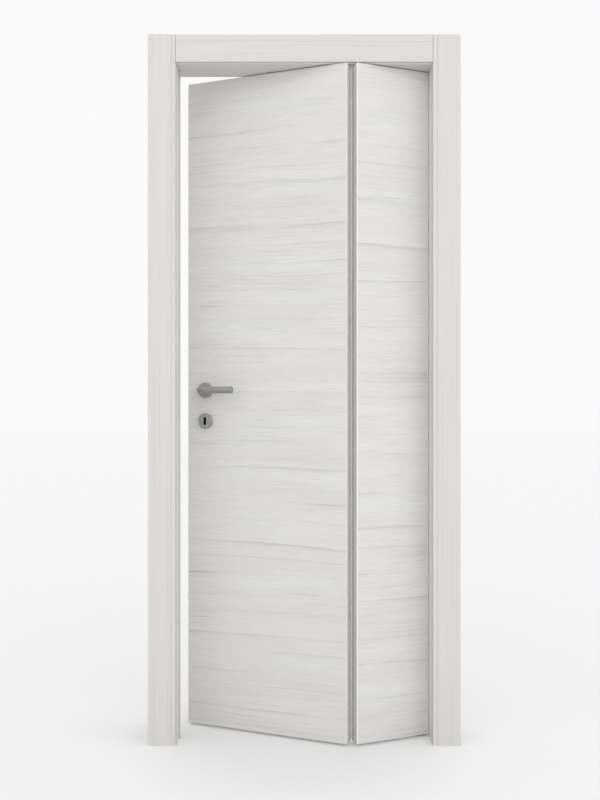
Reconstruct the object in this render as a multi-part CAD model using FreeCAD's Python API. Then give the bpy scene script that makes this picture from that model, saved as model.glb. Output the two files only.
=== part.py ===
import FreeCAD, Part
import math
import os

# Two-leaf folding interior door in its own jamb frame, shown partly folded.
# X runs across the opening, Y runs from the room in front through the wall, Z is up from the floor.
# The origin is on the floor, midway between the jambs, in the plane of the wall's front face.

# Opening
clear_width = 788.0
clear_height = 2100.0
wall_depth = 105.0

# How far each leaf is turned from closed as modelled, and when fully folded
fold_angle = 19.5
open_angle = 86.0

# Jambs and head
jamb_thick = 32.0
head_thick = 32.0
stop_depth = 46.5
jamb_arris = 2.0
fixing_hole_radius = 4.0
fixing_hole_depth = 30.0
fixing_hole_low = 300.0
fixing_hole_drop = 300.0

# Casings
casing_width = 85.0
casing_thick = 10.0
casing_reveal = 2.0
casing_arris = 2.0
rear_arris = 6.0
casing_joint = 0.8
quirk_place = 14.5
quirk_depth = 3.0
quirk_rise = 1.0
quirk_floor = 1.0
tongue_place = 17.0
tongue_thick = 6.0
tongue_depth = 14.0
tongue_play = 0.2
relief_depth = 1.0
relief_over = 10.0

# Gasket in the stop strip: a stem, a bulb and a lip that stands proud of the stop
gasket_groove_width = 3.0
gasket_groove_depth = 4.0
gasket_bulb_radius = 3.0
gasket_lip_proud = 4.5
gasket_lip_thick = 1.6

# Leaves
leaf_thick = 40.0
leaf_floor_gap = 8.0
leaf_head_gap = 3.0
narrow_width = 246.7
fold_gap = 3.0
pivot_gap = 5.0
strike_lap = 9.5
strike_gap = 4.0
pivot_inset = 40.0
track_line = 70.0
skin_thick = 4.0
band_thick = 4.0
band_arris = 3.0
fold_arris = 1.8
stile_width = 35.0
pivot_stile_width = 60.0
rail_height = 70.0
core_hole_radius = 11.0
core_hole_pitch = 33.0
lock_block_width = 90.0
lock_block_over = 110.0

# Continuous fold hinge
knuckle_radius = 4.2
knuckle_room = 0.4
knuckle_count = 24
knuckle_slit = 0.5
hinge_pin_radius = 2.0
hinge_pin_play = 0.05
hinge_end_gap = 4.0
hinge_plate_width = 30.0
hinge_slit = 0.6
hinge_tab_reach = 2.7
hinge_screw_count = 8
hinge_screw_line = 20.0
hinge_screw_head_radius = 3.0
hinge_screw_head = 0.8
hinge_screw_radius = 1.5
hinge_screw_length = 25.0

# Pivots of the narrow leaf and guide of the wide leaf
housing_radius = 8.0
housing_length = 50.0
pin_seat = 46.0
pivot_pin_radius = 4.0
pivot_play = 0.05
pivot_rise = 18.0
socket_length = 40.0
socket_side_play = 0.2
socket_height = 16.4
socket_roof = 2.0
bracket_thick = 3.0
bracket_width = 30.0
bracket_toe = 22.0
bracket_heel = 26.0
bracket_boss_radius = 9.0
bracket_boss_height = 3.5
bracket_floor = 1.0
bracket_end_play = 0.1
bracket_screw_step = 18.0

# Track and trolley
track_width = 24.0
track_height = 22.0
track_wall = 1.6
track_slot = 9.0
track_end_gap = 0.2
track_screw_shares = (0.06, 0.3, 0.62)
buffer_length = 14.0
buffer_height = 14.0
buffer_gap = 1.0
buffer_margin = 8.0
trolley_length = 44.0
trolley_width = 8.8
trolley_height = 10.0
trolley_lift = 1.4
trolley_pin_radius = 3.0
wheel_radius = 6.0
wheel_width = 4.6
wheel_play = 0.3
wheel_side_gap = 0.6
wheel_base = 28.0
axle_radius = 1.5
axle_play = 0.05

# Wood screws of the fittings, and the long screws of the frame corners
screw_head_radius = 3.5
screw_head = 1.2
screw_radius = 1.75
screw_length = 11.2
corner_screw_head_radius = 5.0
corner_screw_head = 4.0
corner_screw_radius = 2.5
corner_screw_length = 60.0
corner_screw_places = (30.0, 86.4)
corner_screw_rise = 10.0

# Lock
backset = 65.0
lever_height = 1095.0
key_drop = 100.0
faceplate_thick = 3.0
faceplate_width = 20.0
faceplate_low = 60.0
faceplate_high = 70.0
faceplate_screw_edge = 10.0
case_depth = 95.0
case_thick = 16.0
case_wall = 1.5
case_low = 40.0
case_high = 50.0
case_room = 0.3
bolt_play = 0.3
bolt_thick = 11.0
latch_low = 13.0
latch_height = 22.0
latch_head_length = 22.3
latch_throw = 10.0
latch_tail_height = 12.0
latch_tail_thick = 4.0
latch_tail_lift = 6.0
latch_hook_gap = 13.3
latch_hook_thick = 4.0
latch_hook_play = 0.5
latch_hook_width = 8.0
deadbolt_low = 13.0
deadbolt_height = 26.0
deadbolt_length = 49.3
deadbolt_throw = 14.0
hub_radius = 8.0
hub_play = 0.06
hub_flange_radius = 11.0
hub_flange_gap = 0.1
hub_nose_reach = 17.0
hub_nose_width = 5.0
hub_nose_thick = 8.0
spindle_size = 8.0
spindle_seat = 22.0
strike_thick = 2.0
strike_width = 24.0
strike_play = 1.5
strike_pocket = 12.5
strike_screw_edge = 10.0

# Lever furniture
rose_radius = 25.0
rose_thick = 9.0
rose_arris = 1.5
rose_ring_radius = 21.5
rose_ring_width = 1.5
rose_ring_depth = 0.6
key_slot_width = 9.5
key_slot_height = 26.5
key_passage_room = 1.0
lever_radius = 11.0
lever_offset = 53.0
lever_length = 117.0
lever_bend = 13.0
lever_tip_arris = 3.0
lever_rose_gap = 0.4
journal_radius = 8.0
journal_play = 0.05
journal_end_gap = 0.5
spindle_hole_radius = 10.0
spindle_end_play = 2.0
rose_bolt_radius = 2.0
rose_bolt_step = 38.0
rose_bolt_seat = 6.0
rose_bolt_room = 0.3

overrun = 1.0
near = 0.01
arc_mid_share = 1 - math.sqrt(0.5)

V = FreeCAD.Vector
up = V(0, 0, 1)
across = V(1, 0, 0)
through = V(0, 1, 0)
turn = math.radians(fold_angle)
open_turn = math.radians(open_angle)

# Places that follow from the sizes
half_clear = clear_width / 2
half_thick = leaf_thick / 2
stop_thick = strike_lap + strike_gap
wide_width = clear_width + strike_lap - pivot_gap - fold_gap - narrow_width
key_height = lever_height - key_drop
rebate_face = half_clear + stop_thick
jamb_back = half_clear + jamb_thick
jamb_top = clear_height + head_thick
casing_inner = half_clear + casing_reveal
casing_top = clear_height + casing_reveal + casing_width
rear_left_inner = rebate_face + casing_reveal
groove_line = casing_inner + tongue_place
leaf_top = clear_height - leaf_head_gap
pivot_x = half_clear - pivot_gap - pivot_inset
arm = narrow_width - pivot_inset + fold_gap / 2
fold_x = pivot_x - arm * math.cos(turn) - half_thick * math.sin(turn)
fold_y = track_line - arm * math.sin(turn) + half_thick * math.cos(turn)
guide_x = 2 * fold_x - pivot_x
far_guide_x = pivot_x - 2 * math.hypot(arm, half_thick)
open_guide_x = pivot_x - 2 * (arm * math.cos(open_turn) + half_thick * math.sin(open_turn))


def box(x0, x1, y0, y1, z0, z1):
    return Part.makeBox(x1 - x0, y1 - y0, z1 - z0, V(x0, y0, z0))


def rod(radius, x, y, z0, z1):
    return Part.makeCylinder(radius, z1 - z0, V(x, y, z0))


def rod_through(radius, x, z, y0, y1):
    return Part.makeCylinder(radius, y1 - y0, V(x, y0, z), through)


def rod_across(radius, x0, x1, y, z):
    return Part.makeCylinder(radius, x1 - x0, V(x0, y, z), across)


def grown(x0, x1, y0, y1, z0, z1, room):
    return box(x0 - room, x1 + room, y0 - room, y1 + room, z0 - room, z1 + room)


def slot(width, height, x, z, y0, y1):
    half = width / 2
    reach = height / 2 - half
    low = rod_through(half, x, z - reach, y0, y1)
    high = rod_through(half, x, z + reach, y0, y1)
    return box(x - half, x + half, y0, y1, z - reach, z + reach).fuse([low, high]).removeSplitter()


def screw(head_radius, head, radius, length, place, way):
    top = Part.makeCylinder(head_radius, head, place, way)
    shank = Part.makeCylinder(radius, head + length, place, way)
    return top.fuse(shank).removeSplitter()


def wood_screw(place, way):
    return screw(screw_head_radius, screw_head, screw_radius, screw_length, place, way)


def round_edges(shape, radius, on_edge):
    picked = []
    for edge in shape.Edges:
        ends = [vertex.Point for vertex in edge.Vertexes]
        if len(ends) == 2 and all(on_edge(p) for p in ends):
            picked.append(edge)
    return shape.makeFillet(radius, picked)


def round_uprights(shape, radius, corners):
    for x, y in corners:
        shape = round_edges(shape, radius, lambda p: abs(p.x - x) < near and abs(p.y - y) < near)
    return shape


def round_rim(shape, radius, rim_radius, centre):
    picked = []
    for edge in shape.Edges:
        curve = edge.Curve
        if isinstance(curve, Part.Circle) and abs(curve.Radius - rim_radius) < near:
            if curve.Center.distanceToPoint(centre) < near:
                picked.append(edge)
    return shape.makeFillet(radius, picked)


def hang(shape, angle):
    placed = shape.copy()
    placed.rotate(V(0, 0, 0), up, angle)
    placed.translate(V(fold_x, fold_y, 0))
    return placed


def hang_narrow(shape):
    return hang(shape, fold_angle)


def hang_wide(shape):
    return hang(shape, -fold_angle)


os.makedirs("parts", exist_ok=True)


def save(name, shapes):
    shapes = shapes if isinstance(shapes, list) else [shapes]
    node = shapes[0] if len(shapes) == 1 else Part.makeCompound(shapes)
    node.exportStep("parts/" + name + ".step")


# Casings: an outline across the board, drawn along its length. The inner edge of a side casing
# slopes gently into a shallow quirk; the head casing is plain. The back is relieved over the jamb's edge,
# so that the outer part bears on the wall.
def casing(at, run, quirked, tongue_at, relief_at, inner_r):
    r = casing_arris
    mid = r * arc_mid_share
    inner_mid = inner_r * arc_mid_share
    back = casing_thick
    relief = casing_thick - relief_depth
    tip = casing_thick + tongue_depth
    far = tongue_at + tongue_thick
    edges = []

    def line(*points):
        for a, b in zip(points, points[1:]):
            edges.append(Part.LineSegment(at(*a), at(*b)).toShape())

    def arc(a, b, c):
        edges.append(Part.Arc(at(*a), at(*b), at(*c)).toShape())

    line((0, back), (0, inner_r))
    arc((0, inner_r), (inner_mid, inner_mid), (inner_r, 0))
    start = (inner_r, 0)
    if quirked:
        line(start, (quirk_place - quirk_floor, quirk_depth), (quirk_place, quirk_depth),
             (quirk_place + quirk_rise, 0))
        start = (quirk_place + quirk_rise, 0)
    line(start, (casing_width - r, 0))
    arc((casing_width - r, 0), (casing_width - mid, mid), (casing_width, r))
    line((casing_width, r), (casing_width, back), (relief_at, back), (relief_at, relief), (far, relief),
         (far, tip), (tongue_at, tip), (tongue_at, back), (0, back))
    return Part.Face(Part.Wire(edges)).extrude(run)


def front_face(deep):
    return deep - casing_thick


def rear_face(deep):
    return wall_depth + casing_thick - deep


def side_casing(side, inner, face, inner_r):
    board = casing(lambda wide, deep: V(side * (inner + wide), face(deep), 0), V(0, 0, casing_top), True,
                   groove_line - inner, jamb_back + relief_over - inner, inner_r)
    outer = inner + casing_width
    over = box(min(0, side * outer), max(0, side * outer), 0, wall_depth, jamb_top, casing_top + overrun)
    return board.cut(over)


def head_casing(left, right, face, inner_r):
    lower = clear_height + casing_reveal
    start = left + casing_joint
    run = V(right - casing_joint - start, 0, 0)
    board = casing(lambda wide, deep: V(start, face(deep), lower + wide), run, False, tongue_place,
                   jamb_top + relief_over - lower, inner_r)
    tongue_x0 = -rebate_face + tongue_play
    tongue_x1 = half_clear - tongue_play
    ends = [box(left - overrun, max(tongue_x0, left), 0, wall_depth, lower, casing_top),
            box(tongue_x1, right + overrun, 0, wall_depth, lower, casing_top)]
    return board.cut(ends)


save("front_left_casing", side_casing(-1, casing_inner, front_face, casing_arris))
save("front_right_casing", side_casing(1, casing_inner, front_face, casing_arris))
save("front_head_casing", head_casing(-casing_inner, casing_inner, front_face, casing_arris))
save("rear_left_casing", side_casing(-1, rear_left_inner, rear_face, rear_arris))
save("rear_right_casing", side_casing(1, casing_inner, rear_face, rear_arris))
save("rear_head_casing", head_casing(-rear_left_inner, casing_inner, rear_face, rear_arris))


# Grooves in the jambs for the casings' tongues
def side_grooves(side):
    depth = tongue_depth + tongue_play
    near_side = side * (groove_line - tongue_play)
    far_side = side * (groove_line + tongue_thick + tongue_play)
    x0 = min(near_side, far_side)
    x1 = max(near_side, far_side)
    front = box(x0, x1, -overrun, depth, -overrun, jamb_top + overrun)
    rear = box(x0, x1, wall_depth - depth, wall_depth + overrun, -overrun, jamb_top + overrun)
    return [front, rear]


# Screws of the frame
corner_z = clear_height + corner_screw_rise
corner_screws = []
for place in corner_screw_places:
    for side in (-1, 1):
        corner_screws.append(screw(corner_screw_head_radius, corner_screw_head, corner_screw_radius,
                                   corner_screw_length - corner_screw_head,
                                   V(side * jamb_back, place, corner_z), V(-side, 0, 0)))
save("corner_screws", corner_screws)

# Track in the head jamb, with a buffer at each end of the trolley's travel
half_trolley = trolley_length / 2
left_buffer_x = far_guide_x - half_trolley - buffer_gap - buffer_length
right_buffer_x = open_guide_x + half_trolley + buffer_gap
track_left = left_buffer_x - buffer_margin
track_right = half_clear - track_end_gap
track_y0 = track_line - track_width / 2
track_y1 = track_line + track_width / 2
track_floor = clear_height + track_wall
track_ceiling = clear_height + track_height - track_wall
track_top = clear_height + track_height

track_screws = []
for share in track_screw_shares:
    place = V(track_left + share * (track_right - track_left), track_line, track_ceiling - screw_head)
    track_screws.append(wood_screw(place, up))

channel = box(track_left - overrun, track_right + overrun, track_y0 + track_wall, track_y1 - track_wall,
              track_floor, track_ceiling)
mouth = box(track_left - overrun, track_right + overrun, track_line - track_slot / 2,
            track_line + track_slot / 2, clear_height - overrun, track_floor + overrun)
track = box(track_left, track_right, track_y0, track_y1, clear_height, track_top)
save("top_track", track.cut([channel, mouth] + track_screws))

fit_y0 = track_y0 + track_wall + socket_side_play
fit_y1 = track_y1 - track_wall - socket_side_play
buffers = []
for start in (left_buffer_x, right_buffer_x):
    buffers.append(box(start, start + buffer_length, fit_y0, fit_y1, track_floor,
                       track_floor + buffer_height))
save("track_stops", buffers)

# Top pivot socket on the track's lips, and the bracket that the leaf stands on
socket = box(pivot_x - socket_length / 2, pivot_x + socket_length / 2, fit_y0, fit_y1, track_floor,
             track_floor + socket_height)
socket_bore = rod(pivot_pin_radius + pivot_play, pivot_x, track_line, track_floor - overrun,
                  track_floor + socket_height - socket_roof)
save("top_pivot_socket", socket.cut(socket_bore))

bracket_x1 = half_clear + bracket_heel
bracket_y0 = track_line - bracket_width / 2
bracket_y1 = track_line + bracket_width / 2
boss_top = bracket_thick + bracket_boss_height
bracket_screws = []
for side in (-1, 1):
    place = V(half_clear + bracket_heel / 2, track_line + side * bracket_screw_step / 2, 0)
    bracket_screws.append(wood_screw(place, up))
bracket = box(pivot_x - bracket_toe, bracket_x1, bracket_y0, bracket_y1, 0, bracket_thick)
bracket = bracket.fuse(rod(bracket_boss_radius, pivot_x, track_line, 0, boss_top)).removeSplitter()
bracket_bore = rod(pivot_pin_radius + pivot_play, pivot_x, track_line, bracket_floor, boss_top + overrun)
save("bottom_pivot_bracket", bracket.cut([bracket_bore] + bracket_screws))

# Lock places along the wide leaf, measured from the fold axis
wide_edge = -fold_gap / 2 - wide_width
lock_x = wide_edge + backset
plate_z0 = key_height - faceplate_low
plate_z1 = lever_height + faceplate_high
bolt_y0 = -half_thick - bolt_thick / 2
bolt_y1 = -half_thick + bolt_thick / 2
latch_z0 = lever_height + latch_low
latch_z1 = latch_z0 + latch_height
dead_z0 = key_height - deadbolt_low
dead_z1 = dead_z0 + deadbolt_height

# Strike plate let into the rebate of the left jamb
strike_y0 = track_line - strike_width / 2
strike_y1 = track_line + strike_width / 2
bolt_holes = []
for z0, z1 in ((latch_z0, latch_z1), (dead_z0, dead_z1)):
    bolt_holes.append(box(-rebate_face - strike_pocket, -rebate_face + overrun,
                          track_line - bolt_thick / 2 - strike_play,
                          track_line + bolt_thick / 2 + strike_play, z0 - strike_play, z1 + strike_play))
strike_screws = []
for z in (plate_z0 + strike_screw_edge, plate_z1 - strike_screw_edge):
    strike_screws.append(wood_screw(V(-rebate_face, track_line, z), V(-1, 0, 0)))
strike = box(-rebate_face - strike_thick, -rebate_face, strike_y0, strike_y1, plate_z0, plate_z1)
save("strike_plate", strike.cut(bolt_holes + strike_screws))
save("hardware_screws", track_screws + bracket_screws + strike_screws)


# Jambs
def fixing_holes(x0, x1):
    holes = []
    for z in (fixing_hole_low, clear_height - fixing_hole_drop):
        holes.append(rod_across(fixing_hole_radius, x0 - overrun, x1 + overrun, fixing_hole_depth, z))
    return holes


right_jamb = round_uprights(box(half_clear, jamb_back, 0, wall_depth, 0, jamb_top), jamb_arris,
                            [(half_clear, 0)])
foot_notch = box(half_clear - overrun, bracket_x1, bracket_y0, bracket_y1, -overrun, bracket_thick)
right_cuts = side_grooves(1) + fixing_holes(half_clear, jamb_back)
save("right_jamb", right_jamb.cut(right_cuts + [foot_notch] + bracket_screws + corner_screws))

left_jamb = box(-jamb_back, -rebate_face, 0, wall_depth, 0, jamb_top)
left_cuts = side_grooves(-1) + fixing_holes(-jamb_back, -rebate_face)
save("left_jamb", left_jamb.cut(left_cuts + [strike] + bolt_holes + strike_screws + corner_screws))

gasket_x = -half_clear - stop_thick / 2
gasket_stem = box(gasket_x - gasket_groove_width / 2, gasket_x + gasket_groove_width / 2,
                  stop_depth - gasket_groove_depth, stop_depth, 0, clear_height)
gasket_bulb = rod(gasket_bulb_radius, gasket_x, stop_depth, 0, clear_height)
bulb_front = box(gasket_x - gasket_bulb_radius - overrun, gasket_x + gasket_bulb_radius + overrun,
                 stop_depth - gasket_bulb_radius - overrun, stop_depth, -overrun, clear_height + overrun)
lip_x = -half_clear + gasket_lip_proud
lip_y = stop_depth + gasket_lip_thick / 2
gasket_lip = box(gasket_x, lip_x, stop_depth, stop_depth + gasket_lip_thick, 0, clear_height)
gasket_lip = gasket_lip.fuse(rod(gasket_lip_thick / 2, lip_x, lip_y, 0, clear_height))
save("strike_gasket", gasket_bulb.cut(bulb_front).fuse([gasket_stem, gasket_lip]).removeSplitter())
left_stop = round_uprights(box(-rebate_face, -half_clear, 0, stop_depth, 0, clear_height), jamb_arris,
                           [(-half_clear, 0)])
save("left_stop", left_stop.cut(gasket_stem))

head_jamb = round_edges(box(-rebate_face, half_clear, 0, wall_depth, clear_height, jamb_top), jamb_arris,
                        lambda p: abs(p.y) < near and abs(p.z - clear_height) < near)
pocket = box(track_left, half_clear + overrun, track_y0, track_y1, clear_height - overrun, track_top)
groove_z0 = clear_height + casing_reveal + tongue_place - tongue_play
groove_z1 = groove_z0 + tongue_thick + 2 * tongue_play
groove_depth = tongue_depth + tongue_play
head_front = box(-rebate_face - overrun, half_clear + overrun, -overrun, groove_depth, groove_z0, groove_z1)
head_rear = box(-rebate_face - overrun, half_clear + overrun, wall_depth - groove_depth,
                wall_depth + overrun, groove_z0, groove_z1)
save("head_jamb", head_jamb.cut([pocket, head_front, head_rear] + track_screws + corner_screws))

# Continuous hinge: two plates in the fold gap, knuckles by turns on one and the other, one pin
hinge_z0 = leaf_floor_gap + hinge_end_gap
hinge_z1 = leaf_top - hinge_end_gap
knuckle_pitch = (hinge_z1 - hinge_z0) / knuckle_count
knuckle_clear = knuckle_radius + knuckle_room
screw_pitch = (hinge_z1 - hinge_z0) / hinge_screw_count


def hinge_screws(side):
    made = []
    for i in range(hinge_screw_count):
        z = hinge_z0 + (i + 1 / 2) * screw_pitch
        made.append(screw(hinge_screw_head_radius, hinge_screw_head, hinge_screw_radius,
                          hinge_screw_length, V(side * hinge_slit / 2, -hinge_screw_line, z),
                          V(side, 0, 0)))
    return made


def hinge_leaf(side, first, bore_radius, screws):
    x0 = min(side * hinge_slit / 2, side * fold_gap / 2)
    x1 = max(side * hinge_slit / 2, side * fold_gap / 2)
    plate = box(x0, x1, -hinge_plate_width, -knuckle_clear, hinge_z0, hinge_z1)
    pieces = []
    for i in range(first, knuckle_count, 2):
        z0 = hinge_z0 + i * knuckle_pitch + knuckle_slit / 2
        z1 = hinge_z0 + (i + 1) * knuckle_pitch - knuckle_slit / 2
        knuckle = rod(knuckle_radius, 0, 0, z0, z1).cut(rod(bore_radius, 0, 0, z0, z1))
        pieces.append(knuckle)
        pieces.append(box(x0, x1, -knuckle_clear, -hinge_tab_reach, z0, z1))
    return plate.cut(screws).fuse(pieces).removeSplitter()


narrow_hinge_screws = hinge_screws(1)
wide_hinge_screws = hinge_screws(-1)
save("narrow_hinge_leaf", hang_narrow(hinge_leaf(1, 0, hinge_pin_radius, narrow_hinge_screws)))
save("wide_hinge_leaf", hang_wide(hinge_leaf(-1, 1, hinge_pin_radius + hinge_pin_play, wide_hinge_screws)))
save("hinge_pin", hang_narrow(rod(hinge_pin_radius, 0, 0, hinge_z0, hinge_z1)))
save("narrow_hinge_screws", [hang_narrow(s) for s in narrow_hinge_screws])
save("wide_hinge_screws", [hang_wide(s) for s in wide_hinge_screws])

# Leaf pieces, in the leaf's own frame: X along the leaf from the fold axis, rear face at zero
inner_y0 = -leaf_thick + skin_thick
inner_y1 = -skin_thick
knuckle_cove = rod(knuckle_clear, 0, 0, leaf_floor_gap - overrun, leaf_top + overrun)


def board(x0, x1, y0, y1):
    return box(x0, x1, y0, y1, leaf_floor_gap, leaf_top)


def end_band(x0, x1, outer):
    return round_uprights(board(x0, x1, -leaf_thick, 0), band_arris, [(outer, -leaf_thick), (outer, 0)])


def fold_band(x0, x1, outer):
    return round_uprights(board(x0, x1, -leaf_thick, 0), fold_arris, [(outer, -leaf_thick)]).cut(knuckle_cove)


def rails(x0, x1):
    low = box(x0, x1, inner_y0, inner_y1, leaf_floor_gap, leaf_floor_gap + rail_height)
    high = box(x0, x1, inner_y0, inner_y1, leaf_top - rail_height, leaf_top)
    return [low, high]


def core(x0, x1):
    z0 = leaf_floor_gap + rail_height
    z1 = leaf_top - rail_height
    count = int((x1 - x0) / core_hole_pitch)
    first = (x0 + x1) / 2 - (count - 1) * core_hole_pitch / 2
    holes = []
    for i in range(count):
        holes.append(rod(core_hole_radius, first + i * core_hole_pitch, -half_thick, z0, z1))
    return box(x0, x1, inner_y0, inner_y1, z0, z1).cut(holes)


# Narrow leaf
narrow_x0 = fold_gap / 2
narrow_x1 = narrow_x0 + narrow_width
narrow_in0 = narrow_x0 + band_thick
narrow_in1 = narrow_x1 - band_thick
save("narrow_front_skin", hang_narrow(board(narrow_in0, narrow_in1, -leaf_thick, inner_y0)))
save("narrow_rear_skin", hang_narrow(board(narrow_in0, narrow_in1, inner_y1, 0)))
narrow_bands = [fold_band(narrow_x0, narrow_in0, narrow_x0).cut(narrow_hinge_screws),
                end_band(narrow_in1, narrow_x1, narrow_x1)]
save("narrow_edge_bands", [hang_narrow(b) for b in narrow_bands])

housings = [rod(housing_radius, arm, -half_thick, leaf_floor_gap, leaf_floor_gap + housing_length),
            rod(housing_radius, arm, -half_thick, leaf_top - housing_length, leaf_top)]
bottom_pin = rod(pivot_pin_radius, arm, -half_thick, bracket_floor + bracket_end_play,
                 leaf_floor_gap + pin_seat)
top_pin = rod(pivot_pin_radius, arm, -half_thick, leaf_top - pin_seat, leaf_top + pivot_rise)
save("pivot_housings", [hang_narrow(housings[0].cut(bottom_pin)), hang_narrow(housings[1].cut(top_pin))])
save("bottom_pivot_pin", hang_narrow(bottom_pin))
save("top_pivot_pin", hang_narrow(top_pin))

narrow_core0 = narrow_in0 + stile_width
narrow_core1 = narrow_in1 - pivot_stile_width
narrow_stiles = [board(narrow_in0, narrow_core0, inner_y0, inner_y1).cut(narrow_hinge_screws),
                 board(narrow_core1, narrow_in1, inner_y0, inner_y1).cut(housings)]
save("narrow_stiles", [hang_narrow(s) for s in narrow_stiles])
save("narrow_rails", [hang_narrow(r) for r in rails(narrow_core0, narrow_core1)])
save("narrow_core", hang_narrow(core(narrow_core0, narrow_core1)))

# Wide leaf: cuts for the lock and the furniture first
wide_in0 = wide_edge + band_thick
wide_in1 = -fold_gap / 2 - band_thick
case_x0 = wide_edge + faceplate_thick
case_x1 = case_x0 + case_depth
case_y0 = -half_thick - case_thick / 2
case_y1 = -half_thick + case_thick / 2
case_z0 = key_height - case_low
case_z1 = lever_height + case_high
mortise = grown(case_x0, case_x1, case_y0, case_y1, case_z0, case_z1, case_room)
faceplate = box(wide_edge, case_x0, -half_thick - faceplate_width / 2, -half_thick + faceplate_width / 2,
                plate_z0, plate_z1)
plate_screws = []
for z in (plate_z0 + faceplate_screw_edge, plate_z1 - faceplate_screw_edge):
    plate_screws.append(wood_screw(V(wide_edge, -half_thick, z), across))
key_passage = slot(key_slot_width + 2 * key_passage_room, key_slot_height + 2 * key_passage_room, lock_x,
                   key_height, -leaf_thick - overrun, overrun)
spindle_hole = rod_through(spindle_hole_radius, lock_x, lever_height, -leaf_thick - overrun, overrun)
bolt_places = []
for side in (-1, 1):
    bolt_places.append((lock_x + side * rose_bolt_step / 2, lever_height))
    bolt_places.append((lock_x, key_height + side * rose_bolt_step / 2))
rose_bolts = []
bolt_rooms = []
for x, z in bolt_places:
    rose_bolts.append(rod_through(rose_bolt_radius, x, z, -leaf_thick - rose_bolt_seat, rose_bolt_seat))
    bolt_rooms.append(rod_through(rose_bolt_radius + rose_bolt_room, x, z, -leaf_thick - overrun, overrun))
save("rose_bolts", [hang_wide(b) for b in rose_bolts])

skin_cuts = [key_passage, spindle_hole] + bolt_rooms
save("wide_front_skin", hang_wide(board(wide_in0, wide_in1, -leaf_thick, inner_y0).cut(skin_cuts)))
save("wide_rear_skin", hang_wide(board(wide_in0, wide_in1, inner_y1, 0).cut(skin_cuts)))
wide_bands = [fold_band(wide_in1, -fold_gap / 2, -fold_gap / 2).cut(wide_hinge_screws),
              end_band(wide_edge, wide_in0, wide_edge).cut([faceplate, mortise] + plate_screws)]
save("wide_edge_bands", [hang_wide(b) for b in wide_bands])

guide_housing = rod(housing_radius, -arm, -half_thick, leaf_top - housing_length, leaf_top)
guide_bore = rod(trolley_pin_radius + pivot_play, -arm, -half_thick, leaf_top - pin_seat, leaf_top + overrun)
save("guide_housing", hang_wide(guide_housing.cut(guide_bore)))

wide_core0 = wide_in0 + stile_width
wide_core1 = wide_in1 - stile_width
wide_stiles = [board(wide_core1, wide_in1, inner_y0, inner_y1).cut(wide_hinge_screws),
               board(wide_in0, wide_core0, inner_y0, inner_y1).cut([mortise] + plate_screws)]
save("wide_stiles", [hang_wide(s) for s in wide_stiles])
save("wide_rails", [hang_wide(r.cut(guide_housing)) for r in rails(wide_core0, wide_core1)])
lock_block = box(wide_core0, wide_core0 + lock_block_width, inner_y0, inner_y1,
                 key_height - lock_block_over, lever_height + lock_block_over)
save("wide_core", hang_wide(core(wide_core0, wide_core1).cut(lock_block)))
save("lock_block", hang_wide(lock_block.cut([mortise] + skin_cuts)))

# Lock: a tray with a cover, both bored for the hub, the key and the rose bolts
latch_head_x1 = wide_edge + latch_head_length
latch_head = box(wide_edge, latch_head_x1, bolt_y0, bolt_y1, latch_z0, latch_z1)
tail_z0 = latch_z0 + latch_tail_lift
hook_x0 = lock_x + latch_hook_gap
hook_x1 = hook_x0 + latch_hook_thick
tail = box(latch_head_x1, hook_x1, -half_thick - latch_tail_thick / 2, -half_thick + latch_tail_thick / 2,
           tail_z0, tail_z0 + latch_tail_height)
hook = box(hook_x0, hook_x1, -half_thick - latch_hook_width / 2, -half_thick + latch_hook_width / 2,
           lever_height + hub_flange_radius + latch_hook_play, tail_z0)
deadbolt = box(wide_edge, wide_edge + deadbolt_length, bolt_y0, bolt_y1, dead_z0, dead_z1)
bolt_ways = []
for z0, z1 in ((latch_z0, latch_z1), (dead_z0, dead_z1)):
    bolt_ways.append(box(wide_edge - overrun, case_x0 + case_wall + overrun, bolt_y0 - bolt_play,
                         bolt_y1 + bolt_play, z0 - bolt_play, z1 + bolt_play))
hub_bore = rod_through(hub_radius + hub_play, lock_x, lever_height, case_y0 - overrun, case_y1 + overrun)
case_cuts = [hub_bore, key_passage] + bolt_rooms
hollow = box(case_x0 + case_wall, case_x1 - case_wall, case_y0 - overrun, case_y1 - case_wall,
             case_z0 + case_wall, case_z1 - case_wall)
lid = box(case_x0, case_x1, case_y0, case_y0 + case_wall, case_z0, case_z1)
tray = box(case_x0, case_x1, case_y0 + case_wall, case_y1, case_z0, case_z1)
save("lock_case", hang_wide(tray.cut([hollow] + case_cuts + bolt_ways)))
save("lock_cover", hang_wide(lid.cut(case_cuts)))
save("lock_faceplate", hang_wide(faceplate.cut(bolt_ways + plate_screws)))
save("faceplate_screws", [hang_wide(s) for s in plate_screws])
save("latch_bolt", hang_wide(latch_head.fuse([tail, hook]).removeSplitter()))
save("deadbolt", hang_wide(deadbolt))

half_spindle = spindle_size / 2
spindle_y0 = -leaf_thick - spindle_seat
spindle_y1 = spindle_seat
spindle = box(lock_x - half_spindle, lock_x + half_spindle, spindle_y0, spindle_y1,
              lever_height - half_spindle, lever_height + half_spindle)
flange_y0 = case_y0 + case_wall + hub_flange_gap
flange_y1 = case_y1 - case_wall - hub_flange_gap
hub = rod_through(hub_radius, lock_x, lever_height, case_y0, case_y1)
flange = rod_through(hub_flange_radius, lock_x, lever_height, flange_y0, flange_y1)
nose = box(lock_x - hub_nose_width / 2, lock_x + hub_nose_width / 2, -half_thick - hub_nose_thick / 2,
           -half_thick + hub_nose_thick / 2, lever_height, lever_height + hub_nose_reach)
follower = hub.fuse([flange, nose]).removeSplitter().cut(spindle)
save("spindle", hang_wide(spindle))
save("follower", hang_wide(follower))


# Lever furniture, made for the front and mirrored in the leaf's middle plane for the rear
def to_rear(shape):
    return shape.mirror(V(0, -half_thick, 0), through)


rose_face = -leaf_thick - rose_thick


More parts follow.
